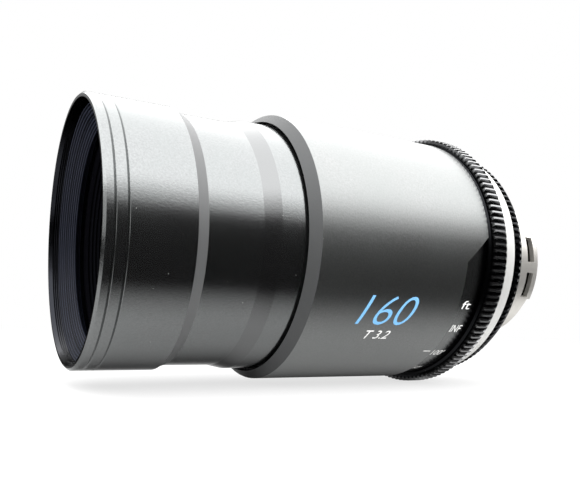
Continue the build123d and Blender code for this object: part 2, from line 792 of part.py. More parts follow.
# Iris housing: tube with a front lip, and a slot for the iris ring's drive pin
rotor_middle = rotor_station + rotor_thickness / 2
iris_slot_side_deg = degrees(asin((iris_pin_radius + blade_slot_fit) / iris_housing_bore_radius))
with BuildPart() as iris_housing:
    housing_station = guide_flange_station + guide_flange_length + seat_fit
    spin([
        (at(housing_station), iris_lip_bore_radius),
        (at(housing_station), iris_housing_radius),
        (at(iris_housing_end_station), iris_housing_radius),
        (at(iris_housing_end_station), iris_housing_bore_radius),
        (at(base_plate_station - seat_fit), iris_housing_bore_radius),
        (at(base_plate_station - seat_fit), iris_lip_bore_radius),
    ])
    half_slot = iris_pin_radius + blade_slot_fit
    spin(band(rotor_middle - half_slot, rotor_middle + half_slot, iris_housing_bore_radius - overrun,
              iris_housing_radius + overrun), Mode.SUBTRACT,
         iris_pin_deg - iris_slot_side_deg, iris_turn_deg + 2 * iris_slot_side_deg)
keep(iris_housing, "iris_housing")

# Fixed base plate with the pivot holes of the blades
with BuildPart() as iris_base_plate:
    spin(band(base_plate_station, base_plate_station + base_plate_thickness, base_plate_bore_radius,
              iris_housing_bore_radius - seat_fit))
    axial_rods(base_plate_station, base_plate_station + base_plate_thickness, blade_pivot_radius,
               blade_pin_radius + running_fit, blade_count, mode=Mode.SUBTRACT)
keep(iris_base_plate, "iris_base_plate")


def blade_drive_point(turn, swing):
    """Drive pin of the first blade, seen from a rotor that has turned, when the blade has swung."""
    out = blade_drive_out * cos(radians(swing)) + blade_drive_back * sin(radians(swing))
    side = blade_drive_out * sin(radians(swing)) - blade_drive_back * cos(radians(swing))
    return Vector(blade_pivot_radius + out, side, 0).rotate(Axis.Z, -turn)


# Rotor: a spiral slot for each blade's drive pin, and a notch for the ring's drive pin
with BuildPart() as iris_rotor:
    spin(band(rotor_station, rotor_station + rotor_thickness, rotor_bore_radius,
              iris_housing_bore_radius - running_fit))
    with BuildSketch(cross_plane(rotor_station), mode=Mode.PRIVATE) as blade_slot:
        shares = [step / blade_slot_steps for step in range(blade_slot_steps + 1)]
        slot_points = [blade_drive_point(share * iris_turn_deg, share * blade_swing_deg)
                       for share in shares]
        with BuildLine():
            Spline(*slot_points)
        trace(line_width=2 * (blade_pin_radius + blade_slot_fit))
        with Locations(slot_points[0], slot_points[-1]):
            Circle(blade_pin_radius + blade_slot_fit)
    for n in range(blade_count):
        extrude(blade_slot.sketch.rotate(Axis.X, n * 360 / blade_count), amount=rotor_thickness,
                dir=(1, 0, 0), mode=Mode.SUBTRACT)
    radial_rod(rotor_middle, iris_pin_deg, iris_pin_root_radius, iris_housing_bore_radius + overrun,
               iris_pin_radius + seat_fit, Mode.SUBTRACT)
    with BuildSketch(cross_plane(rotor_station)):
        with Locations(polar((iris_pin_root_radius + iris_housing_bore_radius) / 2, iris_pin_deg)):
            Rectangle(iris_housing_bore_radius - iris_pin_root_radius + overrun,
                      2 * (iris_pin_radius + seat_fit))
    extrude(amount=rotor_thickness, mode=Mode.SUBTRACT)
keep(iris_rotor, "iris_rotor")

# Blades: each curved leaf lies in a plane of its own, with a pivot pin in front and a drive pin behind
blade_middle_radius = blade_inner_radius + blade_width / 2
rotor_pin_end = rotor_station + rotor_thickness - edge_break
for n in range(blade_count):
    leaf_station = blade_station + n * blade_pitch
    turned = n * 360 / blade_count
    pivot_point = polar(blade_pivot_radius, turned)
    drive_point = Vector(blade_pivot_radius + blade_drive_out, -blade_drive_back, 0).rotate(Axis.Z, turned)
    with BuildPart() as blade:
        with BuildSketch(cross_plane(leaf_station)):
            with BuildLine(mode=Mode.PRIVATE) as leaf_line:
                CenterArc((0, 0), blade_middle_radius, turned, blade_span_deg)
            SlotArc(leaf_line.edge(), blade_width)
            with BuildSketch(mode=Mode.PRIVATE) as root_circles:
                with Locations(pivot_point, drive_point, polar(blade_middle_radius, turned)):
                    Circle(blade_boss_radius)
            with BuildSketch(mode=Mode.PRIVATE) as root:
                make_hull(root_circles.sketch.edges())
            add(root.sketch)
        extrude(amount=blade_thickness)
        pin_front = base_plate_station + edge_break
        with BuildSketch(cross_plane(pin_front)):
            with Locations(pivot_point):
                Circle(blade_pin_radius)
        extrude(amount=leaf_station - pin_front)
        with BuildSketch(cross_plane(leaf_station)):
            with Locations(drive_point):
                Circle(blade_pin_radius)
        extrude(amount=rotor_pin_end - leaf_station)
    keep(blade, f"iris_blade_{n + 1}")

# Iris gear ring and the pin that takes its turn through the housing to the rotor
iris_tip_radius = gear_module * iris_teeth / 2 + gear_module
with BuildPart() as iris_gear:
    gear_blank(iris_gear_station, iris_gear_end_station, iris_teeth)
    spin([
        (at(iris_gear_station), 0),
        (at(iris_gear_station), iris_tip_radius - tooth_tip_bevel),
        (at(iris_gear_station + tooth_tip_bevel), iris_tip_radius),
        (at(iris_tooth_end_station), iris_tip_radius),
        (at(iris_gear_end_station), iris_gear_end_radius),
        (at(iris_gear_end_station), 0),
    ], Mode.INTERSECT)
    spin(band(iris_gear_station - overrun, iris_gear_end_station + overrun, 0, iris_ring_bore_radius),
         Mode.SUBTRACT)
    radial_rod(rotor_middle, iris_pin_deg, iris_housing_radius, iris_pin_tip_radius + seat_fit,
               iris_pin_radius + seat_fit, Mode.SUBTRACT)
keep(iris_gear, "iris_gear")

with BuildPart() as iris_drive_pin:
    radial_rod(rotor_middle, iris_pin_deg, iris_pin_root_radius + edge_break, iris_pin_tip_radius,
               iris_pin_radius)
keep(iris_drive_pin, "iris_drive_pin")

# Rear housing: bright cone behind the iris ring that carries the mount
housing_end_station = mount_ring_station - shim_thickness - 2 * seat_fit
housing_seat_radius = iris_housing_radius + seat_fit
with BuildPart() as rear_housing:
    spin([
        (at(rear_housing_station), housing_seat_radius),
        (at(rear_housing_station), rear_housing_front_radius),
        (at(rear_housing_cone_station), mount_neck_radius),
        (at(housing_end_station), mount_neck_radius),
        (at(housing_end_station), housing_bore_radius),
        (at(housing_bore_station), housing_bore_radius),
        (at(housing_bore_station), housing_relief_radius),
        (at(iris_housing_end_station + seat_fit), housing_relief_radius),
        (at(iris_housing_end_station + seat_fit), housing_seat_radius),
    ])
    mount_screw_end = flange_station - mount_screw_length
    axial_rods(mount_screw_end - seat_fit, housing_end_station, mount_screw_pitch_radius,
               mount_screw_radius + seat_fit, mount_screw_count, mount_screw_angle, Mode.SUBTRACT)
    for n in range(grub_count):
        radial_rod(housing_grub_station, n * 360 / grub_count, housing_seat_radius - overrun,
                   rear_housing_front_radius + overrun, grub_radius + seat_fit, Mode.SUBTRACT)
keep(rear_housing, "rear_housing")

with BuildPart() as housing_grub_screws:
    for n in range(grub_count):
        angle = n * 360 / grub_count
        radial_rod(housing_grub_station, angle, housing_seat_radius, housing_grub_tip_radius, grub_radius)
        radial_rod(housing_grub_station, angle, housing_grub_tip_radius - driver_depth,
                   housing_grub_tip_radius, driver_radius, Mode.SUBTRACT)
keep(housing_grub_screws, "housing_grub_screws")

with BuildPart() as shim_ring:
    spin(band(mount_ring_station - shim_thickness - seat_fit, mount_ring_station - seat_fit,
              housing_bore_radius, mount_base_radius))
    axial_rods(mount_ring_station - shim_thickness - seat_fit, mount_ring_station - seat_fit,
               mount_screw_pitch_radius, mount_screw_radius + seat_fit, mount_screw_count, mount_screw_angle,
               Mode.SUBTRACT)
keep(shim_ring, "shim_ring")

# Mount: flange with four lugs, two pockets in each lug, and the barrel that enters the camera
lug_gap_deg = 360 / mount_lug_count - mount_lug_deg
pocket_centre_deg = (mount_post_deg + mount_pocket_deg) / 2
with BuildPart() as mount_ring:
    spin([
        (at(mount_ring_station), mount_bore_radius),
        (at(mount_ring_station), mount_lug_radius - edge_break),
        (at(mount_ring_station + edge_break), mount_lug_radius),
        (at(flange_station - edge_break), mount_lug_radius),
        (at(flange_station), mount_lug_radius - edge_break),
        (at(flange_station), mount_barrel_radius),
        (at(mount_end_station - edge_break), mount_barrel_radius),
        (at(mount_end_station), mount_barrel_radius - edge_break),
        (at(mount_end_station), mount_bore_radius),
    ])
    for n in range(mount_lug_count):
        lug_angle = mount_lug_angle + n * 360 / mount_lug_count
        spin(band(mount_ring_station - overrun, flange_station + overrun, mount_base_radius,
                  mount_lug_radius + overrun), Mode.SUBTRACT, lug_angle + mount_lug_deg / 2, lug_gap_deg)
        for side in (-1, 1):
            pocket_start = lug_angle + side * pocket_centre_deg - mount_pocket_deg / 2
            spin(band(mount_pocket_station, mount_pocket_end_station, mount_lug_radius - mount_pocket_depth,
                      mount_lug_radius + overrun), Mode.SUBTRACT, pocket_start, mount_pocket_deg)
    axial_rods(mount_ring_station, flange_station, mount_screw_pitch_radius, mount_screw_radius + seat_fit,
               mount_screw_count, mount_screw_angle, Mode.SUBTRACT)
    axial_rods(flange_station - mount_screw_head_length - seat_fit, flange_station, mount_screw_pitch_radius,
               mount_screw_head_radius + seat_fit, mount_screw_count, mount_screw_angle, Mode.SUBTRACT)
keep(mount_ring, "mount_ring")

with BuildPart() as mount_screws:
    head_station = flange_station - mount_screw_head_length
    head_end = flange_station - seat_fit
    axial_rods(mount_screw_end, head_end, mount_screw_pitch_radius, mount_screw_radius, mount_screw_count,
               mount_screw_angle)
    axial_rods(head_station, head_end, mount_screw_pitch_radius, mount_screw_head_radius, mount_screw_count,
               mount_screw_angle)
    axial_rods(head_end - driver_depth, head_end, mount_screw_pitch_radius, driver_radius, mount_screw_count,
               mount_screw_angle, Mode.SUBTRACT)
keep(mount_screws, "mount_screws")

# Rear cell: flange that closes the iris, two lens bores and a neck inside the mount
rear_cell_radius = housing_bore_radius - seat_fit
rear_cell_neck_radius = mount_bore_radius - seat_fit
with BuildPart() as rear_cell:
    spin([
        (at(rear_cell_station), glass_4_radius + seat_fit),
        (at(rear_cell_station), iris_housing_bore_radius - seat_fit),
        (at(rear_cell_station + rear_cell_flange_length), iris_housing_bore_radius - seat_fit),
        (at(rear_cell_station + rear_cell_flange_length), rear_cell_radius),
        (at(rear_cell_neck_station), rear_cell_radius),
        (at(rear_cell_neck_station), rear_cell_neck_radius),
        (at(rear_cell_end_station), rear_cell_neck_radius),
        (at(rear_cell_end_station), glass_6_radius + seat_fit),
        (at(rear_cell_shoulder_station + rear_cell_shoulder_length), glass_6_radius + seat_fit),
        (at(rear_cell_shoulder_station + rear_cell_shoulder_length), rear_cell_shoulder_bore_radius),
        (at(rear_cell_shoulder_station), rear_cell_shoulder_bore_radius),
        (at(rear_cell_shoulder_station), glass_4_radius + seat_fit),
    ])
keep(rear_cell, "rear_cell")

with BuildPart() as rear_front_retainer:
    spin(band(glass_4_station - seat_fit - rear_retainer_length, glass_4_station - seat_fit,
              glass_4_clear_radius, glass_4_radius))
    spanner_notches(glass_4_station - seat_fit - rear_retainer_length, glass_4_clear_radius, glass_4_radius,
                    notch_depth)
keep(rear_front_retainer, "iris_side_retainer")

glass_5_station = glass_4_station + glass_4_rim + rear_spacer_length + 2 * seat_fit
with BuildPart() as glass_4:
    lens_element(glass_4_station, glass_4_rim, glass_4_radius, glass_4_clear_radius, glass_4_hollow, 0)
keep(glass_4, "glass_4")

with BuildPart() as rear_spacer:
    spin(band(glass_4_station + glass_4_rim + seat_fit, glass_5_station - seat_fit, glass_4_clear_radius,
              glass_4_radius))
keep(rear_spacer, "rear_spacer")

with BuildPart() as glass_5:
    lens_element(glass_5_station, rear_cell_shoulder_station - seat_fit - glass_5_station, glass_4_radius,
                 glass_4_clear_radius, glass_5_bulge, 0)
keep(glass_5, "glass_5")

glass_6_station = rear_cell_shoulder_station + rear_cell_shoulder_length + seat_fit
with BuildPart() as glass_6:
    lens_element(glass_6_station, glass_6_rim, glass_6_radius, glass_6_clear_radius, 0, glass_6_bulge)
keep(glass_6, "glass_6_rear")

rear_retainer_station = glass_6_station + glass_6_rim + seat_fit
with BuildPart() as rear_retainer:
    spin(band(rear_retainer_station, rear_retainer_station + rear_retainer_length, glass_6_clear_radius,
              glass_6_radius))
    spanner_notches(rear_retainer_station + rear_retainer_length - notch_depth, glass_6_clear_radius,
                    glass_6_radius, notch_depth)
keep(rear_retainer, "rear_retainer")

# Light baffle in the rear of the cell: a thin cup with a rectangular opening
with BuildPart() as rear_baffle:
    spin(band(rear_baffle_station, rear_baffle_station + rear_baffle_length, 0, glass_6_radius))
    spin(band(rear_baffle_station + rear_baffle_thickness, rear_baffle_station + rear_baffle_length + overrun,
              0, glass_6_radius - rear_baffle_thickness), Mode.SUBTRACT)
    with BuildSketch(cross_plane(rear_baffle_station)):
        RectangleRounded(rear_baffle_width, rear_baffle_height, rear_baffle_corner)
    extrude(amount=rear_baffle_thickness, mode=Mode.SUBTRACT)
keep(rear_baffle, "rear_baffle")
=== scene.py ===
import json
from math import cos, pi, radians, sin

import bmesh
import bpy
from mathutils import Matrix, Vector


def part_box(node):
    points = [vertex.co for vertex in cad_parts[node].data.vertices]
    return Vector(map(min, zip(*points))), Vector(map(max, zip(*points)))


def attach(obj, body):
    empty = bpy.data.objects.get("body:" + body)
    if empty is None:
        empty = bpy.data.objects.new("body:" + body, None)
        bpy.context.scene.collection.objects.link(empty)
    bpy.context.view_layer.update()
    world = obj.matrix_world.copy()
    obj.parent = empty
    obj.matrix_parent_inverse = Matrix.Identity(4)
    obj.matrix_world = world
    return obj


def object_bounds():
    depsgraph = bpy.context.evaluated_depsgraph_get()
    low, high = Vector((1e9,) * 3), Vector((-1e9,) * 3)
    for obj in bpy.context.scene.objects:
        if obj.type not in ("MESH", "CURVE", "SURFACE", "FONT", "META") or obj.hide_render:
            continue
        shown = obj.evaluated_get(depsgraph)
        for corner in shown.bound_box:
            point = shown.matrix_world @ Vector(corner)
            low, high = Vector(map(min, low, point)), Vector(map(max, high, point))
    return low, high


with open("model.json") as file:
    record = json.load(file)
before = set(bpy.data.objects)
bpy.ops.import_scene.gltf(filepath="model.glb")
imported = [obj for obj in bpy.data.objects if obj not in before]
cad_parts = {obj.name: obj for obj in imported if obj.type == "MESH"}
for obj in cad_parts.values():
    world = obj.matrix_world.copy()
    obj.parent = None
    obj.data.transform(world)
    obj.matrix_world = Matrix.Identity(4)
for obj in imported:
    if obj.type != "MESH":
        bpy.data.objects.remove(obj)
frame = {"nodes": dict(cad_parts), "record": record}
cad_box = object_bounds()

# Lengths are in metres. A station is measured back from the front rim along X, and an angle is measured
# about X from the top, towards the marked side at -Y.
mm = 0.001
front_rim_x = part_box("front_ring")[0].x
sleeve_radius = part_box("main_sleeve")[1].z
scale_ring_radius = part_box("scale_ring")[1].z
focus_tip_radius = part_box("focus_gear")[1].z
floor_height = cad_box[0].z


def at(station):
    """Place along X of a station."""
    return front_rim_x + station


def add_object(name, data):
    """Object at the origin, linked to the scene."""
    made = bpy.data.objects.new(name, data)
    bpy.context.scene.collection.objects.link(made)
    return made


class Value:
    """Output of a shader node: Python arithmetic on it adds Math nodes."""

    def __init__(self, shading, socket):
        self.shading = shading
        self.socket = socket

    def math(self, operation, *numbers):
        return self.shading.node("ShaderNodeMath", {"operation": operation}, dict(enumerate(numbers)))

    def __add__(self, other):
        return self.math("ADD", self, other)

    def __mul__(self, other):
        return self.math("MULTIPLY", self, other)

    def __sub__(self, other):
        return self.math("SUBTRACT", self, other)

    def __rsub__(self, other):
        return self.math("SUBTRACT", other, self)

    __radd__ = __add__

    def absolute(self):
        return self.math("ABSOLUTE", self)

    def fraction(self):
        return self.math("FRACT", self)

    def ramp(self, start, end):
        """0 up to the start and 1 from the end on, with a smooth step between them."""
        ends = {"From Min": start, "From Max": end, "Value": self}
        return self.shading.node("ShaderNodeMapRange", {"interpolation_type": "SMOOTHSTEP"}, ends)

    def above(self, level, softness):
        """0 under the level and 1 over it, with a soft step."""
        return self.ramp(level - softness, level + softness)

    def between(self, low, high, softness):
        return self.above(low, softness) * (1 - self.above(high, softness))

    def spread(self, first, second):
        """The first where this is 0 and the second where it is 1."""
        return self * (second - first) + first


speck_edge_share = 0.3
speck_choice_softness = 0.01


class Shading:
    """A node tree in the making, with one method that adds any node."""

    def __init__(self, tree):
        self.tree = tree

    def node(self, kind, settings=None, values=None, output=0):
        made = self.tree.nodes.new(kind)
        for name, setting in (settings or {}).items():
            setattr(made, name, setting)
        self.fill(made, values or {})
        return Value(self, made.outputs[output])

    def fill(self, made, values):
        for name, value in values.items():
            socket = made.inputs[name]
            if isinstance(value, Value):
                self.tree.links.new(value.socket, socket)
            elif isinstance(value, tuple) and len(value) == 3 and socket.type == "RGBA":
                socket.default_value = (*value, 1)
            else:
                socket.default_value = value

    def seen(self, *kinds):
        """1 for these kinds of ray."""
        rays = [self.node("ShaderNodeLightPath", output=f"Is {kind} Ray") for kind in kinds]
        return sum(rays[1:], rays[0])

    def place(self):
        return self.node("ShaderNodeTexCoord", output="Object")

    def length(self, vector):
        return self.node("ShaderNodeVectorMath", {"operation": "LENGTH"}, {0: vector}, output="Value")

    def component(self, vector, axis):
        return self.node("ShaderNodeSeparateXYZ", None, {0: vector}, output=axis)

    def along(self, axis):
        return self.component(self.place(), axis)

    def station(self):
        return self.along("X") - front_rim_x

    def radius(self):
        across = self.node("ShaderNodeVectorMath", {"operation": "MULTIPLY"}, {0: self.place(), 1: (0, 1, 1)})
        return self.length(across)

    def facing_back(self):
        """1 where the surface faces straight back along X, and -1 where it faces straight forwards."""
        return self.component(self.node("ShaderNodeNewGeometry", output="Normal"), "X")

    def noise(self, grain, detail=2.0, vector=None):
        """Soft noise from 0 to 1 whose grains are about this size."""
        values = {"Vector": vector or self.place(), "Scale": 1 / grain, "Detail": detail}
        return self.node("ShaderNodeTexNoise", None, values, output="Fac")

    def turned_lines(self, pitch):
        """Noise that only changes along the axis and outwards, like the marks of a lathe."""
        profile = self.node("ShaderNodeCombineXYZ", None, {"X": self.along("X"), "Y": self.radius()})
        return self.noise(pitch, detail=1.0, vector=profile)

    def specks(self, spacing, size, share):
        """Mask of small round specks, in this share of the cells of a loose grid."""
        cells = {"Vector": self.place(), "Scale": 1 / spacing}
        near = self.node("ShaderNodeTexVoronoi", None, cells, output="Distance")
        chance = self.node("ShaderNodeTexVoronoi", None, cells, output="Color")
        chosen = self.node("ShaderNodeSeparateColor", None, {0: chance}, output="Red")
        small = 1 - near.above(size / spacing, speck_edge_share * size / spacing)
        return small * chosen.above(1 - share, speck_choice_softness)

    def mix(self, factor, first, second):
        """Blend of two colours; 6, 7 and 2 are the numbers of the node's colour sockets."""
        values = {0: factor, 6: first, 7: second}
        return self.node("ShaderNodeMix", {"data_type": "RGBA"}, values, output=2)


class Finish(Shading):
    """A material and its shader."""

    def __init__(self, name, **constants):
        self.material = bpy.data.materials.new(name)
        self.material.use_nodes = True
        super().__init__(self.material.node_tree)
        self.shader = self.tree.nodes["Principled BSDF"]
        self.set(**constants)

    def set(self, **sockets):
        """Sockets of the shader, with their names written with underscores."""
        self.fill(self.shader, {name.replace("_", " "): value for name, value in sockets.items()})

    def bump(self, height, depth):
        self.set(Normal=self.node("ShaderNodeBump", None, {"Height": height, "Distance": depth}))

    def own(self):
        """What the material's own shader gives."""
        return Value(self, self.shader.outputs[0])

    def show_mix(self, factor, first, second):
        """Let the material show the first shader where the factor is 0 and the second where it is 1."""
        mixed = self.node("ShaderNodeMixShader", None, {0: factor, 1: first, 2: second})
        self.fill(self.tree.nodes["Material Output"], {"Surface": mixed})


def shade(colour, factor):
    return tuple(part * factor for part in colour)


edge_softness = 0.1 * mm
dust_colour = (0.55, 0.55, 0.53)
blast_grain = 0.6 * mm
blast_depth = 0.026 * mm
blast_darkest = 0.66
blast_lightest = 1.36
blast_roughness = 0.07
haze_roughness = 0.05
cloud_tint = (0.97, 1.0, 0.99)
noise_middle = 0.5


def anodised(name, colour, roughness, metallic, change=None):
    """Bead-blasted anodised aluminium with a little dust on it; change alters it from place to place."""
    finish = Finish(name)
    blasted = finish.noise(blast_grain)
    clouds = finish.noise(grain=14 * mm, detail=3.0)
    dust = finish.specks(spacing=3.4 * mm, size=0.09 * mm, share=0.35)
    tone = finish.mix(blasted, shade(colour, blast_darkest), shade(colour, blast_lightest))
    tone = finish.mix(clouds, tone, tuple(part * tint for part, tint in zip(colour, cloud_tint)))
    rough = roughness + (blasted - noise_middle) * blast_roughness + (clouds - noise_middle) * haze_roughness
    if change:
        tone, rough, metallic = change(finish, tone, rough, metallic)
    finish.set(
        Base_Color=finish.mix(dust, tone, dust_colour),
        Metallic=(1 - dust) * metallic,
        Roughness=rough,
    )
    finish.bump(blasted, blast_depth)
    return finish


barrel_grey = (0.225, 0.229, 0.23)
barrel_roughness = 0.19
barrel_metallic = 0.98


def satin_black():
    return anodised("satin_black", barrel_grey, barrel_roughness, barrel_metallic)


barrel_inside_radius = 44.3 * mm
barrel_inside_black = (0.006, 0.0065, 0.008)
matt_band_stations = (28.7 * mm, 32.7 * mm)
matt_band_grey = (0.11, 0.112, 0.113)
matt_band_roughening = 0.26
matt_band_dulling = 0.6
dark_band_stations = (51.9 * mm, 57.9 * mm)
dark_band_grey = shade(barrel_grey, 0.88)
band_softness = 0.15 * mm


def barrel_black():
    """The front barrel has one matt band and one darker band round it, and is nearly black inside."""
    def bands(finish, tone, rough, metallic):
        matt = finish.station().between(*matt_band_stations, band_softness)
        dark = finish.station().between(*dark_band_stations, band_softness)
        outside = finish.radius().above(barrel_inside_radius, edge_softness)
        tone = finish.mix(dark, finish.mix(matt, tone, matt_band_grey), dark_band_grey)
        tone = finish.mix(outside, barrel_inside_black, tone)
        return tone, rough + matt * matt_band_roughening, metallic - matt * matt_band_dulling
    return anodised("barrel_black", barrel_grey, barrel_roughness, barrel_metallic, bands)


front_ring_inside_radius = 45.9 * mm
thread_black = (0.02, 0.021, 0.025)


def front_ring_black():
    """Satin outside; the thread and seat inside the rim are nearly black."""
    def dark_inside(finish, tone, rough, metallic):
        outside = finish.radius().above(front_ring_inside_radius, edge_softness)
        return finish.mix(outside, thread_black, tone), rough, metallic
    return anodised("front_ring_black", barrel_grey, barrel_roughness, barrel_metallic, dark_inside)


sleeve_grey = (0.252, 0.255, 0.254)
sleeve_roughness = 0.35
sleeve_metallic = 0.96
chamfer_facing = -0.3
chamfer_facing_softness = 0.1
chamfer_grey = (0.075, 0.077, 0.078)
chamfer_roughening = 0.2
chamfer_dulling = 0.5


def sleeve_black():
    """What faces forwards on the sleeve, which is mostly the chamfer at its mouth, is matt."""
    def matt_chamfer(finish, tone, rough, metallic):
        chamfer = 1 - finish.facing_back().above(chamfer_facing, chamfer_facing_softness)
        tone = finish.mix(chamfer, tone, chamfer_grey)
        return tone, rough + chamfer * chamfer_roughening, metallic - chamfer * chamfer_dulling
    return anodised("sleeve_black", sleeve_grey, sleeve_roughness, sleeve_metallic, matt_chamfer)


scale_grey = shade(sleeve_grey, 0.85)
scale_roughness = 0.22
scale_metallic = 0.97
# painted shade: where the scale ring darkens towards the gear, and how black it gets there
scale_painted_shade_stations = (140.0 * mm, 144.4 * mm)
scale_painted_shade_black = (0.008, 0.008, 0.01)


def scale_black():
    """Scale ring: glossier than the sleeve, and darkened to deep black beside the gear with painted shade."""
    def paint_shade_by_gear(finish, tone, rough, metallic):
        # painted shade that darkens the ring towards the gear
        dark = finish.station().ramp(*scale_painted_shade_stations)
        return finish.mix(dark, tone, scale_painted_shade_black), rough, metallic
    return anodised("scale_black", scale_grey, scale_roughness, scale_metallic, paint_shade_by_gear)


crest_dark_depth = 1.9 * mm
crest_light_depth = 0.3 * mm
# crests lighter partly from wear and partly as painted highlight; tooth gaps darkened with painted shade
crest_wear_and_highlight_grey = (0.25, 0.252, 0.255)
tooth_gap_painted_shade = (0.014, 0.0145, 0.016)
# the bevel that faces back is lightened with a painted highlight
bevel_facing_start = (0.25, 0.45)
bevel_facing_end = (0.9, 0.96)
bevel_radii = (45.5 * mm, 46.5 * mm)
bevel_painted_highlight_grey = (0.34, 0.34, 0.34)
gear_metallic = 0.96


def gear_black():
    """Cut teeth: painted shade in the gaps and a painted highlight on the bevel behind them. The crests are
    lighter, partly from wear and partly as painted highlight, on the focus ring alone, because the iris ring
    doesn't reach out so far."""
    finish = Finish("gear_black")
    blasted = finish.noise(0.3 * mm)
    outward = finish.radius()
    facing = finish.facing_back()
    crest = outward.ramp(focus_tip_radius - crest_dark_depth, focus_tip_radius - crest_light_depth)
    slanted = facing.ramp(*bevel_facing_start) * (1 - facing.ramp(*bevel_facing_end))
    painted_bevel_highlight = slanted * outward.ramp(*bevel_radii)
    dust = finish.specks(spacing=2.6 * mm, size=0.07 * mm, share=0.3)
    # painted shade in the tooth gaps, wear and painted highlight on the crests, painted highlight on the back
    # bevel
    tone = finish.mix(painted_bevel_highlight, finish.mix(crest, tooth_gap_painted_shade, crest_wear_and_highlight_grey), bevel_painted_highlight_grey)
    finish.set(
        Base_Color=finish.mix(dust, tone, dust_colour),
        Metallic=(1 - dust) * gear_metallic,
        Roughness=blasted.spread(0.16, 0.26),
    )
    finish.bump(blasted, 0.006 * mm)
    return finish


def inner_black():
    """Dull black with a blue cast, for what faces the light path."""
    finish = Finish("inner_black")
    blasted = finish.noise(0.25 * mm)
    dust = finish.specks(spacing=4.0 * mm, size=0.08 * mm, share=0.3)
    tone = finish.mix(blasted, (0.012, 0.013, 0.017), (0.022, 0.024, 0.03))
    finish.set(Base_Color=finish.mix(dust, tone, dust_colour), Roughness=blasted.spread(0.38, 0.48))
    finish.bump(blasted, 0.01 * mm)
    return finish


first_rib_station = 3.9 * mm
rib_pitch = 0.6625 * mm
rib_crest_share = 0.3
rib_softness_share = 0.15
# painted shade in the gaps between ribs and a painted highlight along each crest
rib_gap_painted_shade = (0.002, 0.0025, 0.005)
rib_crest_painted_highlight = (0.028, 0.032, 0.05)


def ribbed_black():
    """The baffle's ridges: painted blue-black shade in the gaps and a painted lighter highlight on the thin
    crests.
    """
    finish = Finish("ribbed_black", Specular_IOR_Level=0.12)
    uneven = finish.noise(0.5 * mm)
    along_rib = ((finish.station() - first_rib_station) * (1 / rib_pitch)).fraction()
    crest = 1 - along_rib.above(rib_crest_share, rib_softness_share)
    # painted shade in the rib gaps, painted highlight on the crests
    tone = finish.mix(crest, rib_gap_painted_shade, rib_crest_painted_highlight)
    finish.set(Base_Color=tone, Roughness=uneven.spread(0.45, 0.6))
    finish.bump(uneven, 0.008 * mm)
    return finish


def trap_black():
    """Dull paint of the light traps, which sends almost nothing back."""
    finish = Finish("trap_black", Specular_IOR_Level=0.0)
    uneven = finish.noise(0.6 * mm)
    tone = finish.mix(uneven, (0.002, 0.002, 0.003), (0.006, 0.006, 0.008))
    finish.set(Base_Color=tone, Roughness=uneven.spread(0.7, 0.8))
    finish.bump(uneven, 0.01 * mm)
    return finish


lathe_pitch = 0.16 * mm
lathe_depth = 0.0016 * mm
lathe_shade = 0.93
line_roughness = 0.08
cloud_roughness = 0.06


def lathed(name, colour, roughness, metallic=1.0, stain=0.9, change=None):
    """Turned metal: fine lathe lines and faint clouding; change alters its tone from place to place."""
    finish = Finish(name, Metallic=metallic)
    lines = finish.turned_lines(lathe_pitch)
    clouds = finish.noise(grain=7 * mm, detail=3.0)
    tone = finish.mix(clouds, shade(colour, stain), colour)
    tone = finish.mix(lines, shade(colour, lathe_shade), tone)
    if change:
        tone = change(finish, tone)
    finish.set(Base_Color=tone, Roughness=roughness + lines * line_roughness + clouds * cloud_roughness)
    finish.bump(lines, lathe_depth)
    return finish


mount_silver = (0.72, 0.7, 0.66)
pocket_floor_radius = 31.9 * mm
pocket_stations = (187.4 * mm, 191.4 * mm)
# painted shade for the bottom of the bayonet pockets
pocket_painted_shade = (0.03, 0.026, 0.02)


def polished_mount():
    """Bright turned mount whose bayonet pockets are darkened at the bottom with painted shade."""
    def paint_pocket_shade(finish, tone):
        # painted shade in the recessed pocket floors
        low = 1 - finish.radius().above(pocket_floor_radius, edge_softness)
        pocket = low * finish.station().between(*pocket_stations, edge_softness)
        return finish.mix(pocket, tone, pocket_painted_shade)
    return lathed("polished_mount", mount_silver, 0.3, metallic=0.8, stain=0.95, change=paint_pocket_shade)


coating_tint = (0.05, 0.1, 0.2)


def coated_glass():
    """Clear optical glass; its coating tints the reflections."""
    finish = Finish("coated_glass", Transmission_Weight=1.0, IOR=1.52, Roughness=0.0)
    smudges = finish.noise(grain=12 * mm, detail=3.0)
    tone = finish.mix(smudges, (0.93, 0.97, 0.96), (0.98, 0.99, 1.0))
    finish.set(Base_Color=tone, Specular_Tint=coating_tint)
    return finish


def felt():
    """Black felt with a nap."""
    finish = Finish("felt", Sheen_Weight=0.4, Roughness=0.95)
    fibres = finish.noise(grain=0.2 * mm, detail=5.0)
    finish.set(Base_Color=finish.mix(fibres, (0.008, 0.008, 0.009), (0.03, 0.03, 0.032)))
    finish.bump(fibres, 0.12 * mm)
    return finish


def washer_plastic():
    """Cream bearing plastic."""
    finish = Finish("washer_plastic")
    clouds = finish.noise(4 * mm)
    tone = finish.mix(clouds, (0.7, 0.68, 0.61), (0.8, 0.78, 0.72))
    finish.set(Base_Color=tone, Roughness=clouds.spread(0.3, 0.4))
    return finish


paint_darkest = 0.86


def paint(name, colour):
    """Filled lettering: matt paint, a little uneven."""
    finish = Finish(name)
    uneven = finish.noise(0.8 * mm)
    tone = finish.mix(uneven, shade(colour, paint_darkest), colour)
    finish.set(Base_Color=tone, Roughness=uneven.spread(0.4, 0.55))
    finish.bump(uneven, 0.004 * mm)
    return finish


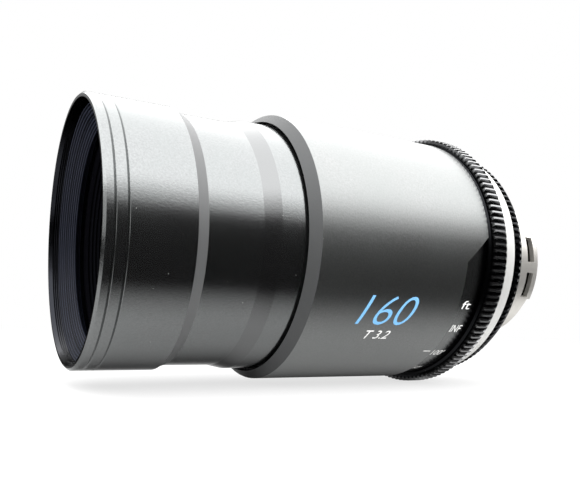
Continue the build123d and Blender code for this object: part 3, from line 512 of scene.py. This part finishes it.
finishes = {
    "satin_black": satin_black(),
    "barrel_black": barrel_black(),
    "front_ring_black": front_ring_black(),
    "ribbed_black": ribbed_black(),
    "trap_black": trap_black(),
    "sleeve_black": sleeve_black(),
    "gear_black": gear_black(),
    "scale_black": scale_black(),
    "inner_black": inner_black(),
    "bright_ring": lathed("bright_ring", (0.74, 0.74, 0.72), 0.42, metallic=0.5),
    "polished_mount": polished_mount(),
    "turned_aluminium": lathed("turned_aluminium", (0.72, 0.72, 0.73), 0.26),
    "turned_brass": lathed("turned_brass", (0.76, 0.6, 0.3), 0.24, stain=0.8),
    "ground_steel": lathed("ground_steel", (0.5, 0.5, 0.51), 0.22),
    "black_steel": lathed("black_steel", (0.1, 0.1, 0.11), 0.34),
    "coated_glass": coated_glass(),
    "felt": felt(),
    "washer_plastic": washer_plastic(),
    "blue_paint": paint("blue_paint", (0.16, 0.42, 0.72)),
    "white_paint": paint("white_paint", (0.85, 0.85, 0.83)),
}

finish_by_slot = {
    "black_inner": "inner_black",
    "gear_black": "gear_black",
    "scale_black": "scale_black",
    "plain_aluminium": "turned_aluminium",
    "brass": "turned_brass",
    "steel": "ground_steel",
    "blade_steel": "black_steel",
    "glass": "coated_glass",
    "felt": "felt",
    "washer_plastic": "washer_plastic",
    "black_anodised": "satin_black",
    "bright_metal": "polished_mount",
}
finish_by_node = {
    "main_sleeve": "sleeve_black",
    "front_ring": "front_ring_black",
    "front_barrel": "barrel_black",
    "middle_ring": "bright_ring",
    "ribbed_baffle": "ribbed_black",
    "front_cell": "trap_black",
    "front_retainer": "trap_black",
}

for part in frame["record"]["subparts"]:
    finish_name = finish_by_node.get(part["node"], finish_by_slot[part["material_slot"]])
    frame["nodes"][part["node"]].material_slots[0].material = finishes[finish_name].material


# Lettering
paint_lift = 0.03 * mm
strip_height = 0.9 * mm
merge_distance = 0.001 * mm
cut_tolerance = 1e-7


def wrap(mesh, station, angle, radius):
    """Bend a flat mesh onto a cylinder about X: its X runs along the axis and its Y upwards round it."""
    for vertex in mesh.vertices:
        along, up, lift = vertex.co
        turned = radians(angle) - up / radius
        outward = radius + lift
        vertex.co = (at(station) + along, -outward * sin(turned), outward * cos(turned))


def cut_in_strips(mesh):
    """Cut a flat mesh across its height, so that it can follow the cylinder."""
    shape = bmesh.new()
    shape.from_mesh(mesh)
    bmesh.ops.remove_doubles(shape, verts=shape.verts, dist=merge_distance)
    top = max(vertex.co.y for vertex in shape.verts)
    cuts = int(2 * top / strip_height)
    for cut in range(1, cuts):
        everything = shape.verts[:] + shape.edges[:] + shape.faces[:]
        level = (0, -top + cut * 2 * top / cuts, 0)
        bmesh.ops.bisect_plane(shape, geom=everything, plane_co=level, plane_no=(0, 1, 0), dist=cut_tolerance)
    bmesh.ops.recalc_face_normals(shape, faces=shape.faces)
    shape.to_mesh(mesh)
    shape.free()


def flat_text(text, width, height, slant, weight=0.0):
    """Mesh of a line of text, centred on its own middle and fitted to this width and height."""
    curve = bpy.data.curves.new("text", "FONT")
    curve.body = text
    curve.shear = slant
    curve.offset = weight
    curve.extrude = paint_lift / height
    curve.resolution_u = 5
    writing = add_object("text", curve)
    graph = bpy.context.evaluated_depsgraph_get()
    mesh = bpy.data.meshes.new_from_object(writing.evaluated_get(graph))
    bpy.data.objects.remove(writing)
    low = Vector([min(v.co[k] for v in mesh.vertices) for k in range(3)])
    high = Vector([max(v.co[k] for v in mesh.vertices) for k in range(3)])
    size = high - low
    mesh.transform(Matrix.Translation(-(low + high) / 2))
    mesh.transform(Matrix.Diagonal((width / size.x, height / size.y, 2 * paint_lift / size.z, 1)))
    return mesh


def flat_stroke(length, width):
    """Mesh of a thin straight line of paint."""
    shape = bmesh.new()
    bmesh.ops.create_cube(shape, size=1)
    mesh = bpy.data.meshes.new("stroke")
    shape.to_mesh(mesh)
    shape.free()
    mesh.transform(Matrix.Diagonal((length, width, 2 * paint_lift, 1)))
    return mesh


def place_marking(mesh, name, station, angle, finish_name, radius, body, slot_name):
    """Wrap a marking round the lens, and let it ride on the ring that carries it."""
    cut_in_strips(mesh)
    wrap(mesh, station, angle, radius)
    mesh.materials.clear()
    mesh.materials.append(finishes[finish_name].material)
    marking = add_object(name, mesh)
    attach(marking, body)


italic = 0.32
on_sleeve = {"radius": sleeve_radius, "body": "chassis", "slot_name": "black_anodised"}
on_scale_ring = {"radius": scale_ring_radius, "body": "focus_ring", "slot_name": "scale_black"}

focal_number = flat_text("160", width=25.0 * mm, height=11.7 * mm, slant=italic, weight=-0.012)
place_marking(focal_number, "focal_length_number", station=102.8 * mm, angle=117.9,
              finish_name="blue_paint", **on_sleeve)
aperture_number = flat_text("T 3.2", width=11.0 * mm, height=3.9 * mm, slant=italic)
place_marking(aperture_number, "aperture_number", station=102.5 * mm, angle=129.5,
              finish_name="white_paint", **on_sleeve)
index_line = flat_stroke(length=3.5 * mm, width=0.4 * mm)
place_marking(index_line, "focus_index_line", station=131.8 * mm, angle=139.2,
              finish_name="white_paint", **on_sleeve)

# Focus scale: the ring turns in step with the lens's travel, so each distance has its own angle.
focal_length = 160.0 * mm
foot = 304.8 * mm
focus_travel = 15.0 * mm
focus_turn_deg = 283.0
unit_angle = 114.5
unit_width = 4.2 * mm
infinity_angle = 126.6
infinity_width = 5.4 * mm
scale_label_station = 140.4 * mm
scale_label_height = 3.4 * mm
scale_digit_width = 1.8 * mm
foot_mark_share = 0.3
distances_ft = (100, 50, 35, 25, 20, 16, 14, 12, 11, 10, 9, 8.5, 8, 7.5, 7, 6.5)


def scale_angle(distance):
    extension = focal_length ** 2 / (distance - focal_length)
    return infinity_angle + extension / focus_travel * focus_turn_deg


def scale_label(text, name, angle, width):
    label = flat_text(text, width, scale_label_height, slant=italic / 2)
    place_marking(label, name, scale_label_station, angle, finish_name="white_paint", **on_scale_ring)


scale_label("ft", "focus_scale_unit", unit_angle, unit_width)
scale_label("INF", "focus_scale_infinity", infinity_angle, infinity_width)
for distance in distances_ft:
    digits = f"{distance:g}"
    width = (len(digits) + foot_mark_share) * scale_digit_width
    name = "focus_scale_" + digits.replace(".", "-") + "_ft"
    scale_label(digits + "'", name, scale_angle(distance * foot), width)


# Studio: a pale floor, a white surround, one broad soft lamp overhead, and a dark card on each side of
# the lens that only reflections see
white = (1.0, 1.0, 1.0)


def stage_plane(name, corners, finish):
    mesh = bpy.data.meshes.new(name)
    mesh.from_pydata(corners, [], [range(n, n + 4) for n in range(0, len(corners), 4)])
    mesh.materials.append(finish.material)
    plane = add_object(name, mesh)
    return plane


floor_reach = 6.0
floor_grey = (0.86, 0.86, 0.86)
floor_glow_share = 0.72
floor_glow_rise = (0.25, 1.15)
mirrored_grey = 0.66
# painted shadow under the lens in what the metal mirrors: its darkest share and its reach
under_lens_painted_shadow_share = 0.12
painted_shadow_reach = 26 * mm


def floor_white():
    """White to the eye; grey where metal mirrors it, with a painted shadow that darkens it there under the
    lens. The share of it that doesn't glow takes the lens's shadow."""
    finish = Finish("floor_white", Base_Color=floor_grey, Roughness=0.9)
    # painted shadow: the mirrored floor glows less close under the lens
    beyond_painted_shadow = finish.along("Y").absolute().ramp(0, painted_shadow_reach)
    mirrored = beyond_painted_shadow.spread(under_lens_painted_shadow_share, 1) * mirrored_grey
    strength = finish.seen("Glossy").spread(1, mirrored)
    glow = finish.node("ShaderNodeEmission", None, {"Color": white, "Strength": strength})
    glow_share = finish.length(finish.place()).ramp(*floor_glow_rise).spread(floor_glow_share, 1)
    finish.show_mix(finish.seen("Camera", "Glossy", "Transmission") * glow_share, finish.own(), glow)
    return finish


square = ((-1, -1), (1, -1), (1, 1), (-1, 1))
floor_corners = [(x * floor_reach, y * floor_reach, floor_height) for x, y in square]
stage_plane("floor", floor_corners, floor_white())

card_half_width = 1.4
card_far = 0.45
card_lift = 1 * mm
card_fade_heights = (0.07, 0.43)
card_fade_sides = (0.035, 0.085)


def card_black():
    """Black in the middle and clear at its upper and near edges, so that its reflection fades out."""
    finish = Finish("card_black", Base_Color=(0.0, 0.0, 0.0), Specular_IOR_Level=0.0)
    below = 1 - finish.along("Z").ramp(*card_fade_heights)
    beyond = finish.along("Y").absolute().ramp(*card_fade_sides)
    finish.show_mix(below * beyond, finish.node("ShaderNodeBsdfTransparent"), finish.own())
    return finish


def dark_card(name, side, finish):
    """Card that lies beside the lens and stands up further out; only reflections see it."""
    card_near = card_fade_sides[0]
    card_bottom = floor_height + card_lift
    card_top = card_fade_heights[1]
    profile = [(card_near, card_bottom), (card_far, card_bottom), (card_far, card_top)]
    corners = []
    for (near, low), (far, high) in zip(profile, profile[1:]):
        corners += [(-card_half_width, side * near, low), (card_half_width, side * near, low),
                    (card_half_width, side * far, high), (-card_half_width, side * far, high)]
    card = stage_plane(name, corners, finish)
    card.visible_camera = False
    card.visible_diffuse = False
    card.visible_shadow = False
    card.visible_transmission = False


card_finish = card_black()
dark_card("dark_card_marked_side", -1, card_finish)
dark_card("dark_card_far_side", 1, card_finish)

fill_strength = 0.7
world = bpy.data.worlds.new("studio")
world.use_nodes = True
bpy.context.scene.world = world
studio = Shading(world.node_tree)
background_strength = studio.seen("Camera", "Glossy", "Transmission").spread(fill_strength, 1)
studio.fill(world.node_tree.nodes["Background"], {"Color": white, "Strength": background_strength})


def soft_lamp(name, place, target, width, depth, radiance):
    lamp = bpy.data.lights.new(name, "AREA")
    lamp.shape = "RECTANGLE"
    lamp.size = width
    lamp.size_y = depth
    lamp.energy = radiance * pi * width * depth
    holder = add_object(name, lamp)
    holder.location = place
    holder.rotation_mode = "QUATERNION"
    holder.rotation_quaternion = (Vector(target) - Vector(place)).to_track_quat("-Z", "Y")


soft_lamp("overhead_softbox", place=(-0.1, -0.3, 0.5), target=(-0.1, -0.3, 0),
          width=2.4, depth=2.0, radiance=2.5)

# Camera, found from the photograph's circles; the photograph is cut from a larger frame, hence the shift
photo_width = 580
photo_height = 500
focal_pixels = 626.81
centre_pixel = (249.35, 314.91)
camera_from_rim = Vector((-41.6, -222.1, -29.4)) * mm
camera_forward = Vector((0.4498, 0.8931, 0.0124))
camera_up = Vector((-0.0275, 0.0, 0.9996))

lens = bpy.data.cameras.new("camera")
lens.sensor_width = 36.0
lens.lens = focal_pixels / photo_width * lens.sensor_width
lens.shift_x = (photo_width / 2 - centre_pixel[0]) / photo_width
lens.shift_y = (centre_pixel[1] - photo_height / 2) / photo_width
lens.clip_start = 0.01
camera = add_object("camera", lens)
backward = -camera_forward.normalized()
rightward = camera_up.cross(backward).normalized()
upward = backward.cross(rightward)
turn = Matrix((rightward, upward, backward)).transposed().to_4x4()
camera.matrix_world = Matrix.Translation(Vector((front_rim_x, 0, 0)) + camera_from_rim) @ turn
bpy.context.scene.camera = camera
bpy.context.scene.view_settings.view_transform = "Standard"
